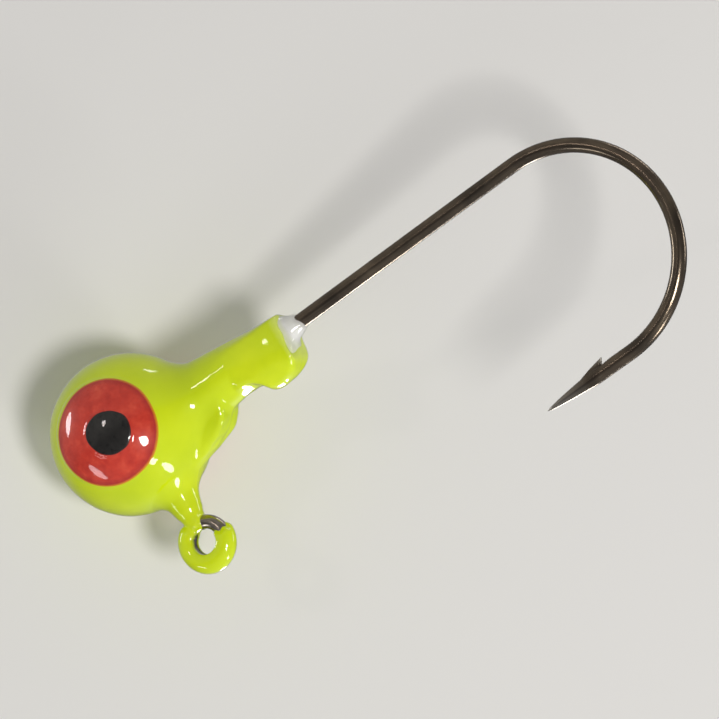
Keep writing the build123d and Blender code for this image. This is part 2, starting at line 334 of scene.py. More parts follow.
def base_field(points, extra=0.0):
    """Primer over the head, with a tail thinning out along the shank."""
    head = head_field(points, BASE_T + 0.006 * wobble(points, 3.0, 5) + extra)
    back, y, height = shank_coords(points)
    around = np.sqrt(y * y + height * height)
    end = TAIL_END - 0.14 + waves(np.arctan2(height, y), (0.12, 1, 0.4), (0.05, 3, 0))
    start = COLLAR_END - 0.12
    run = np.clip((back - start) / (end - COLLAR_END + 0.12), 0, 1.2)
    radius = WIRE_R + (TAIL_R - WIRE_R) * np.clip(1 - run, 0, 1) ** 1.25 + extra
    # a thin film held almost to the ragged end, then sunk into the wire
    radius = radius + 0.035 * (1 - smooth(end - 0.20, end + 0.02, back))
    radius = radius - 0.05 * smooth(end - 0.04, end + 0.05, back)
    tail = np.maximum((around - radius) * 0.87, 9.0 - back)
    tail = np.maximum(tail, back - end - 0.3)
    leg = leg_dist(points, SHANK_Z + 2.5, NECK_Z - 0.35) - (WIRE_R + 0.05 + extra)
    return np.minimum(fuse(head, tail, 0.16), leg)


def colour_field(points, extra=0.0):
    """Colour over the head, the leg and most of the line eye."""
    uneven = 0.55 * wobble(points, 0.9, 3) + 0.45 * wobble(points, 2.2, 8)
    back, y, height = shank_coords(points)
    # the coat is thicker low on the head and thinner high up
    sag = 0.012 * np.clip(-height / 4.0, -1, 1)
    growth = BASE_T + COLOUR_T + 0.012 * uneven + sag + parting_ridge(points) + extra
    head = head_field(points, growth)
    end = COLOUR_END + 0.02 + waves(
        np.arctan2(height, y), (0.10, 1, 2.2), (0.06, 2, 0.5), (0.035, 5, 0))
    head = overlap(head, back - end - extra, 0.09)
    film = film_field(points, BASE_T + COLOUR_T + 0.008 * uneven + extra)
    return clear_hole(points, fuse(head, film, 0.40))


def coat_field(points):
    return colour_field(points, COLOUR_EXTRA)


def clear_field(points):
    """Lacquer over the colour, the primer tail and the painted dots."""
    x, y, z = points.T
    out = colour_field(points, CLEAR_T)
    near = x < -8.2
    if near.any():
        out[near] = fuse(out[near], base_field(points[near], CLEAR_T * 0.8), 0.12)
    u, w = x - BALL_X, z - BALL_Z
    radius = np.sqrt(u * u + w * w + y * y)
    for dot_r, top, at in ((IRIS_R, DOT_T, IRIS_AT), (PUPIL_R, 2 * DOT_T, PUPIL_AT)):
        at_u, at_w = (np.where(y < 0, at[-1][k], at[1][k]) for k in (0, 1))
        off_axis = np.sqrt((u - at_u) ** 2 + (w - at_w) ** 2)
        dot = overlap(radius - (SKIN_R + top + CLEAR_T + 0.008),
                      off_axis - dot_r - CLEAR_T - 0.02, 0.10)
        out = fuse(out, np.where(np.abs(y) > 1.5, dot, 1.0), 0.16)
    return out


# ---------------------------------------------------------------------------
# field to mesh
# ---------------------------------------------------------------------------
BLOCK = 10      # grid points along each side of a sampling block
CHUNK = 600000  # grid points worked out at a time
CORNERS = [(a, b, c) for a in (0, 1) for b in (0, 1) for c in (0, 1)]


def gradient(field, points, reach=0.012):
    out = np.empty_like(points)
    for k in range(3):
        after = points.copy()
        after[:, k] += reach
        before = points.copy()
        before[:, k] -= reach
        out[:, k] = (field(after) - field(before)) / (2 * reach)
    return out


def sample_grid(field, low, high, step):
    """Field on a grid, worked out in full only in blocks near the surface."""
    count = np.ceil((np.array(high, float) - low) / step).astype(int) + 1
    blocks = np.ceil(count / BLOCK).astype(int)
    axes = np.meshgrid(*[np.arange(k) for k in blocks], indexing="ij")
    block_ids = np.stack(axes, -1).reshape(-1, 3)
    coarse = field(low + (block_ids * BLOCK + (BLOCK - 1) / 2) * step)
    live = np.abs(coarse) < (BLOCK / 2 * math.sqrt(3) * step) * 1.35 + step
    values = coarse.reshape(blocks)
    for axis in range(3):
        values = np.repeat(values, BLOCK, axis)
    values = values.astype(np.float32)
    cell = np.stack(np.meshgrid(*[np.arange(BLOCK)] * 3, indexing="ij"), -1).reshape(-1, 3)
    ids = (block_ids[live][:, None, :] * BLOCK + cell[None]).reshape(-1, 3)
    for k in range(0, len(ids), CHUNK):
        part = ids[k:k + CHUNK]
        values[tuple(part.T)] = field(low + part * step)
    return values


def cell_vertices(values, low, step):
    """One vertex in each grid cell the surface crosses, and each cell's vertex number."""
    solid = values < 0
    n = solid.shape
    shifted = [solid[a:n[0] - 1 + a, b:n[1] - 1 + b, c:n[2] - 1 + c] for a, b, c in CORNERS]
    crossed = np.logical_or.reduce(shifted) & ~np.logical_and.reduce(shifted)
    numbers = np.full(crossed.shape, -1, np.int64)
    cells = np.argwhere(crossed)
    numbers[crossed] = np.arange(len(cells))
    total = np.zeros((len(cells), 3))
    count = np.zeros(len(cells))
    at_corner = {q: values[tuple((cells + q).T)].astype(float) for q in CORNERS}
    for q in CORNERS:
        for axis in range(3):
            if q[axis]:
                continue
            far = list(q)
            far[axis] = 1
            a, b = at_corner[q], at_corner[tuple(far)]
            hit = (a < 0) != (b < 0)
            place = np.tile(np.array(q, float), (len(cells), 1))
            place[:, axis] += np.where(hit, a / np.where(hit, a - b, 1), 0)
            total[hit] += place[hit]
            count[hit] += 1
    return low + (cells + total / count[:, None]) * step, numbers


def cell_quads(solid, numbers):
    """A quad across each grid edge that the surface crosses, facing outwards."""
    n = solid.shape
    quads = []
    for axis in range(3):
        first, second = [slice(None)] * 3, [slice(None)] * 3
        first[axis], second[axis] = slice(0, -1), slice(1, None)
        start, end = solid[tuple(first)], solid[tuple(second)]
        edges = np.argwhere(start != end)
        u, v = [k for k in range(3) if k != axis]
        edges = edges[(edges[:, u] > 0) & (edges[:, v] > 0)
                      & (edges[:, u] < n[u] - 1) & (edges[:, v] < n[v] - 1)]
        inside = start[tuple(edges.T)]

        def vertex(du, dv):
            cell = edges.copy()
            cell[:, u] -= du
            cell[:, v] -= dv
            return numbers[tuple(cell.T)]

        quad = np.c_[vertex(1, 1), vertex(0, 1), vertex(0, 0), vertex(1, 0)]
        flip = inside if axis == 1 else ~inside
        quad[flip] = quad[flip][:, ::-1]
        quads.append(quad)
    quads = np.vstack(quads)
    return quads[(quads >= 0).all(1)]


def settle(field, start, quads, step):
    """Pull the vertices on to the surface three times, evening them out along it between."""
    edges = np.vstack([quads[:, [k, (k + 1) % 4]] for k in range(4)])
    verts = start
    for turn in range(3):
        slope = gradient(field, verts)
        steep = np.maximum((slope * slope).sum(1), 0.3)
        verts = verts - (field(verts) / steep)[:, None] * slope
        verts = start + np.clip(verts - start, -1.1 * step, 1.1 * step)
        if turn == 2:
            break
        total = np.zeros_like(verts)
        count = np.zeros(len(verts))
        for i, j in ((0, 1), (1, 0)):
            for k in range(3):
                total[:, k] += np.bincount(edges[:, i], verts[edges[:, j], k], len(verts))
            count += np.bincount(edges[:, i], minlength=len(verts))
        move = total / count[:, None] - verts
        normal = slope / np.sqrt(np.maximum((slope * slope).sum(1), 1e-9))[:, None]
        move -= (move * normal).sum(1)[:, None] * normal
        verts = verts + 0.6 * move
    return verts


def make_mesh(name, verts_mm, faces, normals=None, attributes=None):
    """A smooth-shaded object in metres."""
    mesh = bpy.data.meshes.new(name)
    verts = np.asarray(verts_mm, float) * MM
    mesh.from_pydata(verts.tolist(), [], [list(map(int, face)) for face in faces])
    mesh.validate(clean_customdata=False)
    mesh.polygons.foreach_set("use_smooth", np.ones(len(mesh.polygons), bool))
    for key, value in (attributes or {}).items():
        attribute = mesh.attributes.new(key, "FLOAT", "POINT")
        attribute.data.foreach_set("value", np.asarray(value, np.float32))
    mesh.update()
    if normals is not None:
        mesh.normals_split_custom_set_from_vertices(np.asarray(normals).tolist())
    ob = bpy.data.objects.new(name, mesh)
    bpy.context.scene.collection.objects.link(ob)
    return ob


def mesh_field(name, field, low, high, step):
    """An object from the field's zero surface inside a box."""
    low = np.array(low, float)
    values = sample_grid(field, low, high, step)
    verts, numbers = cell_vertices(values, low, step)
    quads = cell_quads(values < 0, numbers)
    verts = settle(field, verts, quads, step)
    slope = gradient(field, verts, 0.008)
    normals = slope / np.linalg.norm(slope, axis=1)[:, None]
    return make_mesh(name, verts, quads, normals)


# ---------------------------------------------------------------------------
# the hook: one length of wire, swept along its centre line
# ---------------------------------------------------------------------------
HOOK_SIDES = 72
POINT_POWER = 0.62                     # fullness of the ground point
POINT_EASE = 0.80                      # share of the needle after which it eases into the wire
BARB_ROOT = NEEDLE * 0.78 - 0.1        # distances back from the tip
BARB_TIP = NEEDLE * 0.78 + 1.20
BARB_LIFT = 0.27


def hook_path():
    """Rows of x, z and the unit tangent's x, z, from the cut end of the eye to the tip."""
    rows = []

    def arc(centre, radius, start, end, spacing):
        count = max(3, int(abs(end - start) * radius / spacing))
        way = 1 if end > start else -1
        for a in np.linspace(start, end, count):
            sin, cos = math.sin(a), math.cos(a)
            rows.append((centre[0] + radius * cos, centre[1] + radius * sin,
                         -way * sin, way * cos))

    def line(start, end, spacing):
        dx, dz = end[0] - start[0], end[1] - start[1]
        length = math.hypot(dx, dz)
        for t in np.linspace(0, 1, max(3, int(length / spacing))):
            rows.append((start[0] + dx * t, start[1] + dz * t, dx / length, dz / length))

    corner_z = SHANK_Z + CORNER_R
    barb_x, needle_x = TIP_X - 4.15, TIP_X - 1.2   # finer rings between these
    arc((0, 0), LOOP_R, OPEN_A, OPEN_A + 0.10, 0.010)
    arc((0, 0), LOOP_R, OPEN_A + 0.10, LOOP_END_A, 0.05)
    arc((-NECK_R, NECK_Z), NECK_R, NECK_A, 0.0, 0.035)
    line((0, NECK_Z), (0, corner_z), 0.10)
    arc((-CORNER_R, corner_z), CORNER_R, 0.0, -math.pi / 2, 0.07)
    line((-CORNER_R, SHANK_Z), (BEND_X, SHANK_Z), 0.14)
    arc((BEND_X, SHANK_Z + BEND_R), BEND_R, -math.pi / 2, -1.5 * math.pi, 0.06)
    line((BEND_X, POINT_Z), (barb_x, POINT_Z), 0.05)
    line((barb_x, POINT_Z), (needle_x, POINT_Z), 0.018)
    line((needle_x, POINT_Z), (TIP_X, POINT_Z), 0.030)
    # drop the doubled rows where segments meet
    out = [rows[0]]
    for row in rows[1:]:
        if math.hypot(row[0] - out[-1][0], row[1] - out[-1][1]) > 1e-6:
            out.append(row)
    return np.array(out)


def needle_taper(to_tip):
    """Share of the wire's radius left by grinding the point."""
    t = np.clip(to_tip / NEEDLE, 0, 1)
    ease = smooth(POINT_EASE, 1.08, t + 0.04) ** 0.8
    eased = 1 - (1 - POINT_EASE ** POINT_POWER) * (1 - ease)
    taper = np.where(t > POINT_EASE, eased, t ** POINT_POWER)
    # never thinner further back from the tip
    return np.minimum(np.maximum.accumulate(taper[::-1], 0)[::-1], 1.0)


def hook_faces(rings):
    """Quads along the wire, then a fan over each end."""
    sides = HOOK_SIDES
    i = np.arange(rings - 1)[:, None] * sides
    j = np.arange(sides)[None, :]
    after = (j + 1) % sides
    quads = np.stack([i + sides + j, i + sides + after, i + after, i + j], -1)
    faces = quads.reshape(-1, 4).tolist()
    start, end, last = rings * sides, rings * sides + 1, (rings - 1) * sides
    for j in range(sides):
        after = (j + 1) % sides
        faces.append([j, after, start])
        faces.append([last + after, last + j, end])
    return faces


def build_hook():
    path = hook_path()
    run = np.r_[0, np.cumsum(np.hypot(np.diff(path[:, 0]), np.diff(path[:, 1])))]
    turn = np.arange(HOOK_SIDES) / HOOK_SIDES * 2 * math.pi
    along, angle = np.meshgrid(run, turn, indexing="ij")
    to_tip = run[-1] - along
    radius = WIRE_R * np.maximum(needle_taper(to_tip), 0.035)
    # cut end of the eye, its burr broken
    cut = 1 - np.clip(along / 0.07, 0, 1)
    radius = radius * np.sqrt(np.clip(1 - 0.16 * cut**2, 0, 1))
    # barb: a sliver raised on the inner side, its tip towards the bend, with
    # the scoop it was cut from behind it
    rise = np.clip((to_tip - BARB_ROOT) / (BARB_TIP - BARB_ROOT), 0, 1)
    inner = (angle - math.pi / 2 + math.pi) % (2 * math.pi) - math.pi   # 0 faces -Z on the point
    across = np.exp(-((inner / (0.62 - 0.30 * rise)) ** 4))
    lift = BARB_LIFT * rise ** 1.25 * across * (to_tip <= BARB_TIP + 1e-6)
    scoop = 0.115 * (1 - np.clip((to_tip - BARB_TIP) / 0.62, 0, 1)) ** 1.6
    scoop = scoop * np.exp(-((inner / 0.50) ** 2)) * (to_tip > BARB_TIP + 1e-6)
    radius = radius + lift - scoop
    # faint drawing marks and dents
    marks = np.c_[(along * 0.15).ravel(), (np.cos(angle) * 2.2).ravel(),
                  (np.sin(angle) * 2.2).ravel()]
    radius = radius + 0.0022 * wobble(marks, 3.0, 21, 9).reshape(radius.shape)
    path_x, path_z, tan_x, tan_z = (path[:, k][:, None] for k in range(4))
    # rings turn from +Y; the barb leans back against the direction of travel
    in_plane = -np.sin(angle)
    lean = 0.22 * np.clip(lift / BARB_LIFT, 0, 1) ** 2
    x = path_x - radius * in_plane * tan_z - lean * tan_x
    y = radius * np.cos(angle)
    z = path_z + radius * in_plane * tan_x - lean * tan_z
    # coined land inside the line eye
    reach = np.hypot(x, z)
    land = (along < (LOOP_END_A - OPEN_A) * LOOP_R) & (reach < HOLE_R)
    x = np.where(land, x * HOLE_R / np.maximum(reach, 1e-6), x)
    z = np.where(land, z * HOLE_R / np.maximum(reach, 1e-6), z)
    first, last = path[0], path[-1]
    verts = np.vstack([
        np.stack([x, y, z], -1).reshape(-1, 3),
        [[first[0] - first[2] * 0.012, 0, first[1] - first[3] * 0.012]],
        [[last[0] + 0.015, 0, last[1]]],
    ])
    # where the plating wears: the barb's edges and the cut end of the eye
    wear = np.clip(lift / BARB_LIFT, 0, 1) ** 0.7
    wear = wear * np.exp(-(((np.abs(inner) - 0.40) / 0.30) ** 2))
    wear = np.maximum(wear, np.exp(-(((to_tip - BARB_TIP) / 0.10) ** 2)) * (across > 0.3))
    wear = np.maximum(wear, np.exp(-((along / 0.10) ** 2)))
    around = np.r_[angle.ravel(), 0, 0]
    return make_mesh("hook_wire", verts, hook_faces(len(path)), attributes={
        "along": np.r_[along.ravel(), run[0], run[-1]],
        "around_c": np.cos(around),
        "around_s": np.sin(around),
        "wear": np.r_[wear.ravel(), 1.0, 1.0],
    })


# ---------------------------------------------------------------------------
# painted dots
# ---------------------------------------------------------------------------
DOT_SIDES = 120


def dot_faces(rings, side):
    """Top disc, bottom disc and the wall between them."""
    sides = DOT_SIDES
    layer = 1 + rings * sides

    def vertex(i, j):
        return 1 + i * sides + (j % sides)

    faces = []
    for base, way in ((0, 1), (layer, -1)):
        for j in range(sides):
            faces.append([base, base + vertex(0, j), base + vertex(0, j + 1)][::way])
        for i in range(rings - 1):
            for j in range(sides):
                quad = (vertex(i, j), vertex(i + 1, j), vertex(i + 1, j + 1), vertex(i, j + 1))
                faces.append([base + k for k in quad][::way])
    for j in range(sides):
        a, b = vertex(rings - 1, j), vertex(rings - 1, j + 1)
        faces.append([a, layer + a, layer + b, b])
    return [face[::-1] for face in faces] if side > 0 else faces


def build_dot(name, side, radius, under, seed, shift, wave):
    """A drop of enamel on the ball: flat, slightly dished, with a soft rim."""
    phase = np.random.RandomState(seed).rand(6) * 6.283
    # rings lie closer together towards the rim
    shares = np.r_[np.linspace(0, 0.86, 16)[1:], np.linspace(0.86, 1.0, 16)[1:]]
    turn = np.arange(DOT_SIDES) / DOT_SIDES * 2 * math.pi
    share, angle = np.meshgrid(shares, turn, indexing="ij")
    edge = 1 + wave / radius * waves(
        angle, (1, 2, phase[0]), (0.6, 3, phase[1]), (0.35, 5, phase[2]), (0.2, 9, phase[3]))
    reach = radius * share * edge
    gap = radius * (1 - share)
    rim = np.sqrt(np.clip(1 - (1 - np.clip(gap / 0.09, 0, 1)) ** 2, 0, 1))
    film = DOT_T * (1 - 0.10 * (1 - share**2)) * rim - 0.035 * (1 - smooth(0, 0.03, gap))
    film = np.r_[DOT_T * 0.9, film.ravel()]
    u = np.r_[0, (reach * np.cos(angle)).ravel()] + shift[0]
    w = np.r_[0, (reach * np.sin(angle)).ravel()] + shift[1]
    from_centre = np.c_[u, side * np.sqrt(np.maximum(SKIN_R**2 - u * u - w * w, 0.1)), w]
    outward = from_centre / SKIN_R
    base = from_centre + BALL_CENTRE
    # settle on to the colour coat
    for _ in range(3):
        base = base - coat_field(base)[:, None] * outward
    top = base + outward * (under + film)[:, None]
    low = base + outward * (under - 0.045)
    ratio = np.r_[0, share.ravel()]
    around = np.r_[0, angle.ravel()]
    return make_mesh(name, np.vstack([top, low]), dot_faces(len(shares), side), attributes={
        "rim": np.r_[ratio, ratio],
        "turn_c": np.cos(np.r_[around, around]),
        "turn_s": np.sin(np.r_[around, around]),
    })


# ---------------------------------------------------------------------------
# materials
# ---------------------------------------------------------------------------
class Shader:
    """Builds the node tree of a material or world; values may be sockets or constants."""

    def __init__(self, owner, output="OutputMaterial"):
        owner.use_nodes = True
        self.owner = owner
        self.tree = owner.node_tree
        self.tree.nodes.clear()
        self.output = self.add(output)

    def put(self, socket, value):
        if isinstance(value, bpy.types.NodeSocket):
            self.tree.links.new(value, socket)
        else:
            socket.default_value = value

    def add(self, kind, inputs=None, **settings):
        node = self.tree.nodes.new("ShaderNode" + kind)
        for key, value in settings.items():
            setattr(node, key, value)
        for key, value in (inputs or {}).items():
            self.put(node.inputs[key], value)
        return node

    def finish(self, surface):
        self.put(self.output.inputs["Surface"], surface)
        return self.owner

    def coords(self):
        """Object coordinates in millimetres."""
        place = self.add("TexCoord").outputs["Object"]
        return self.add("Mapping", {"Vector": place, "Scale": [1000] * 3}).outputs["Vector"]

    def noise(self, vector, scale, detail=3.0, rough=0.55, distort=0.0):
        return self.add("TexNoise", {
            "Vector": vector, "Scale": scale, "Detail": detail,
            "Roughness": rough, "Distortion": distort}).outputs["Fac"]

    def ramp(self, fac, stops):
        """Colour ramp; stops are (position, colour)."""
        node = self.add("ValToRGB", {"Fac": fac})
        elements = node.color_ramp.elements
        while len(elements) > 1:
            elements.remove(elements[-1])
        elements[0].position, elements[0].color = stops[0][0], (*stops[0][1], 1)
        for position, colour in stops[1:]:
            elements.new(position).color = (*colour, 1)
        return node.outputs["Color"]

    def remap(self, value, to, over=(0.0, 1.0)):
        return self.add("MapRange", {
            "Value": value, "From Min": over[0], "From Max": over[1],
            "To Min": to[0], "To Max": to[1]}).outputs["Result"]

    def mix(self, fac, a, b):
        node = self.add("Mix", data_type="RGBA")
        for key, value in (("Factor", fac), ("A", a), ("B", b)):
            socket = next(q for q in node.inputs if q.name == key and q.enabled)
            self.put(socket, (*value, 1) if isinstance(value, tuple) else value)
        return next(q for q in node.outputs if q.enabled)

    def math(self, operation, a, b):
        return self.add("Math", {0: a, 1: b}, operation=operation).outputs[0]

    def split(self, vector):
        return self.add("SeparateXYZ", {0: vector}).outputs

    def combine(self, x, y, z):
        return self.add("CombineXYZ", {0: x, 1: y, 2: z}).outputs[0]

    def attribute(self, name):
        node = self.add("Attribute", attribute_type="GEOMETRY", attribute_name=name)
        return node.outputs["Fac"]

    def bump(self, height, strength, depth, over=None):
        """Bumped normal, depth in millimetres, laid over another normal if given."""
        inputs = {"Strength": strength, "Distance": depth * MM, "Height": height}
        if over is not None:
            inputs["Normal"] = over
        return self.add("Bump", inputs).outputs["Normal"]

    def principled(self, **inputs):
        inputs = {key.replace("_", " "): value for key, value in inputs.items()}
        return self.add("BsdfPrincipled", inputs).outputs["BSDF"]

    def mix_shader(self, fac, a, b):
        return self.add("MixShader", {0: fac, 1: a, 2: b}).outputs[0]


def new_shader(name):
    return Shader(bpy.data.materials.new(name))


def mat_chartreuse():
    s = new_shader("chartreuse_enamel")
    v = s.coords()
    big = s.noise(v, scale=0.28, detail=3, rough=0.5, distort=0.3)
    small = s.noise(v, scale=2.6, detail=4, rough=0.6)
    colour = s.ramp(big, [(0.30, (0.60, 0.74, 0.004)), (0.52, (0.67, 0.80, 0.006)),
                          (0.75, (0.74, 0.85, 0.010))])
    mottle = s.remap(small, to=(0.0, 0.16), over=(0.42, 0.75))
    colour = s.mix(mottle, colour, (0.54, 0.68, 0.003))
    # pigment thins to a paler, whiter edge where it ends over the primer
    back = s.math("MULTIPLY", s.split(v)["X"], -1.0)
    back = s.math("ADD", back, s.math("MULTIPLY", small, 0.25))
    pale = s.remap(back, to=(0.0, 0.45), over=(COLOUR_END - 0.22, COLOUR_END + 0.12))
    colour = s.mix(pale, colour, (0.80, 0.86, 0.30))
    # fine flecks of pigment and dust caught in the coat, kept in patches
    cells = s.add("TexVoronoi", {"Vector": v, "Scale": 2.1}, feature="F1")
    fleck = s.remap(cells.outputs["Distance"], to=(0.45, 0.0), over=(0.02, 0.055))
    keep = s.remap(s.noise(v, scale=0.9, detail=1), to=(0.0, 1.0), over=(0.60, 0.64))
    colour = s.mix(s.math("MULTIPLY", fleck, keep), colour, (0.34, 0.42, 0.01))
    normal = s.bump(s.noise(v, scale=1.7, detail=2, rough=0.45), strength=0.22, depth=0.05)
    normal = s.bump(s.noise(v, scale=9.0, detail=3, rough=0.6),
                    strength=0.10, depth=0.015, over=normal)
    return s.finish(s.principled(Base_Color=colour, Roughness=s.remap(small, to=(0.30, 0.46)),
                                 Normal=normal, Specular_IOR_Level=0.06))


def mat_primer():
    s = new_shader("white_primer")
    v = s.coords()
    cloud = s.noise(v, scale=1.1, detail=4, rough=0.6)
    colour = s.ramp(cloud, [(0.3, (0.66, 0.64, 0.66)), (0.55, (0.80, 0.79, 0.79)),
                            (0.8, (0.86, 0.85, 0.82))])
    back = s.math("MULTIPLY", s.split(v)["X"], -1.0)
    # a trace of chartreuse bleeds into it at the colour's edge, and the film
    # goes grey where it thins out on the wire
    tint = s.remap(s.math("ADD", back, s.math("MULTIPLY", cloud, 0.3)),
                   to=(0.55, 0.0), over=(COLOUR_END + 0.02, COLOUR_END + 0.38))
    colour = s.mix(tint, colour, (0.72, 0.80, 0.22))
    thin = s.remap(s.math("ADD", back, s.math("MULTIPLY", cloud, 0.25)),
                   to=(0.0, 0.75), over=(TAIL_END - 0.30, TAIL_END + 0.12))
    colour = s.mix(thin, colour, (0.36, 0.33, 0.31))
    normal = s.bump(s.noise(v, scale=5.0, detail=3, rough=0.6), strength=0.25, depth=0.02)
    return s.finish(s.principled(Base_Color=colour, Roughness=s.remap(cloud, to=(0.38, 0.55)),
                                 Normal=normal, Specular_IOR_Level=0.4))


def mat_iris():
    s = new_shader("red_enamel")
    v = s.coords()
    rim = s.attribute("rim")
    cloud = s.noise(v, scale=1.5, detail=4, rough=0.6, distort=0.4)
    fine = s.noise(v, scale=6.5, detail=3, rough=0.6)
    colour = s.ramp(cloud, [(0.30, (0.52, 0.030, 0.018)), (0.52, (0.64, 0.046, 0.026)),
                            (0.74, (0.74, 0.080, 0.042))])
    mottle = s.remap(fine, to=(0.0, 0.22), over=(0.5, 0.8))
    colour = s.mix(mottle, colour, (0.36, 0.018, 0.018))
    # the dot dries darker at its rim, and lets the chartreuse through at the very edge
    dark = s.remap(rim, to=(0.0, 0.50), over=(0.86, 0.945))
    colour = s.mix(dark, colour, (0.34, 0.016, 0.018))
    edge = s.remap(s.math("ADD", rim, s.math("MULTIPLY", fine, 0.02)),
                   to=(0.0, 0.85), over=(0.962, 0.990))
    colour = s.mix(edge, colour, (0.74, 0.30, 0.012))
    normal = s.bump(fine, strength=0.18, depth=0.012)
    return s.finish(s.principled(Base_Color=colour, Roughness=s.remap(cloud, to=(0.26, 0.40)),
                                 Normal=normal, Specular_IOR_Level=0.08))


def mat_pupil():
    s = new_shader("black_enamel")
    v = s.coords()
    cloud = s.noise(v, scale=2.4, detail=4, rough=0.6)
    colour = s.ramp(cloud, [(0.3, (0.008, 0.007, 0.007)), (0.6, (0.016, 0.014, 0.013)),
                            (0.85, (0.034, 0.028, 0.026))])
    edge = s.remap(s.attribute("rim"), to=(0.0, 0.6), over=(0.93, 1.0))
    colour = s.mix(edge, colour, (0.075, 0.010, 0.008))
    normal = s.bump(s.noise(v, scale=8.0, detail=3, rough=0.6), strength=0.15, depth=0.01)
    return s.finish(s.principled(Base_Color=colour, Roughness=s.remap(cloud, to=(0.22, 0.36)),
                                 Normal=normal, Specular_IOR_Level=0.12))


def mat_hook():
    s = new_shader("black_nickel_steel")
    v = s.coords()
    along, cos, sin = (s.attribute(name) for name in ("along", "around_c", "around_s"))
    # drawing marks run along the wire
    drawn = s.combine(*(s.math("MULTIPLY", part, scale)
                        for part, scale in ((along, 0.16), (cos, 3.2), (sin, 3.2))))
    lines = s.noise(drawn, scale=2.2, detail=4, rough=0.6)
    patch = s.noise(v, scale=0.55, detail=4, rough=0.6, distort=0.5)
    fine = s.noise(v, scale=7.0, detail=3, rough=0.6)
    colour = s.ramp(patch, [(0.28, (0.090, 0.073, 0.056)), (0.50, (0.150, 0.118, 0.086)),
                            (0.72, (0.225, 0.175, 0.122))])
    dark = s.remap(lines, to=(0.0, 0.5), over=(0.48, 0.72))
    colour = s.mix(dark, colour, (0.050, 0.042, 0.036))
    # short bright scuffs along the wire, where pieces have rubbed together
    rubbed = s.combine(*(
        s.math("ADD", s.math("MULTIPLY", a, a_scale), s.math("MULTIPLY", b, b_scale))
        for a, a_scale, b, b_scale in (
            (along, 0.27, patch, 1.7), (cos, 2.3, along, 0.05), (sin, 2.3, patch, 0.8))))
    scuff = s.noise(rubbed, scale=2.6, detail=5, rough=0.65, distort=0.4)
    scuff = s.remap(scuff, to=(0.0, 0.70), over=(0.63, 0.77))
    bright = (0.50, 0.45, 0.38)
    colour = s.mix(scuff, colour, bright)
    # plating rubbed through: the barb's edge, the ground needle and the line eye
    worn = s.remap(s.math("ADD", s.attribute("wear"), s.math("MULTIPLY", fine, 0.35)),
                   to=(0.0, 0.85), over=(0.55, 1.05))
    colour = s.mix(worn, colour, bright)
    place = s.split(v)
    on_point = s.math(
        "MULTIPLY",
        s.remap(place["X"], to=(0.0, 1.0), over=(TIP_X - 2.6, TIP_X - 0.5)),
        s.remap(place["Z"], to=(0.0, 1.0), over=(POINT_Z - 1.2, POINT_Z - 1.0)))
    before_tip = s.remap(place["X"], to=(1.0, 0.0), over=(TIP_X + 0.5, TIP_X + 1.5))
    on_point = s.math("MULTIPLY", on_point, before_tip)
    colour = s.mix(s.math("MULTIPLY", on_point, 0.65), colour, (0.46, 0.43, 0.38))
    on_eye = s.math("MULTIPLY", s.remap(along, to=(0.55, 0.0), over=(5.0, 6.4)),
                    s.remap(fine, to=(0.5, 1.0), over=(0.35, 0.65)))
    colour = s.mix(on_eye, colour, (0.52, 0.47, 0.40))
    rough = s.math("ADD", s.remap(lines, to=(0.12, 0.24)), s.remap(fine, to=(0.0, 0.02)))
    rough = s.math("ADD", rough, s.math("MULTIPLY", scuff, 0.10))
    normal = s.bump(lines, strength=0.30, depth=0.010)
    normal = s.bump(fine, strength=0.02, depth=0.005, over=normal)
    return s.finish(s.principled(Base_Color=colour, Metallic=1.0, Roughness=rough,
                                 Normal=normal))


def mat_lead():
    s = new_shader("cast_lead")
    v = s.coords()
    cloud = s.noise(v, scale=0.9, detail=5, rough=0.65)
    colour = s.ramp(cloud, [(0.3, (0.16, 0.16, 0.17)), (0.6, (0.26, 0.26, 0.27)),
                            (0.85, (0.36, 0.36, 0.37))])
    normal = s.bump(s.noise(v, scale=2.2, detail=5, rough=0.7), strength=0.4, depth=0.05)
    return s.finish(s.principled(Base_Color=colour, Metallic=0.8, Normal=normal,
                                 Roughness=s.remap(cloud, to=(0.45, 0.7))))


def mat_clear():
    s = new_shader("clear_lacquer")
    v = s.coords()
    peel = s.noise(v, scale=0.62, detail=2, rough=0.4)
    fine = s.noise(v, scale=3.4, detail=3, rough=0.5)
    normal = s.bump(peel, strength=0.30, depth=0.10)
    normal = s.bump(fine, strength=0.10, depth=0.012, over=normal)
    fresnel = s.add("Fresnel", {"IOR": 1.52, "Normal": normal}).outputs[0]
    through = s.add("BsdfTransparent", {"Color": (0.985, 0.99, 0.965, 1)}).outputs[0]
    gloss = s.add("BsdfAnisotropic", {
        "Color": (1, 1, 1, 1), "Roughness": s.remap(fine, to=(0.035, 0.085)),
        "Normal": normal}).outputs[0]
    # only the outward faces reflect
    front = s.math("SUBTRACT", 1.0, s.add("NewGeometry").outputs["Backfacing"])
    return s.finish(s.mix_shader(s.math("MULTIPLY", fresnel, front), through, gloss))


# ---------------------------------------------------------------------------
# build the pieces
# ---------------------------------------------------------------------------
CHARTREUSE, PRIMER, RED, BLACK = mat_chartreuse(), mat_primer(), mat_iris(), mat_pupil()
STEEL, LEAD, LACQUER = mat_hook(), mat_lead(), mat_clear()


def fit(ob, mat, node):
    """Give a piece its material and put it in place of the frame's node."""
    ob.data.materials.append(mat)
    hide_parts(node)
    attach(ob, "root")
    return ob


hook = fit(build_hook(), STEEL, "hook")

# meshing box round every coat; the primer and the lead stop below the line eye
low = (clear_low[0] - 0.45, clear_low[1] - 0.2, clear_low[2] - 0.2)
high = (clear_high[0] + 0.2, clear_high[1] + 0.2, clear_high[2] + 0.45)

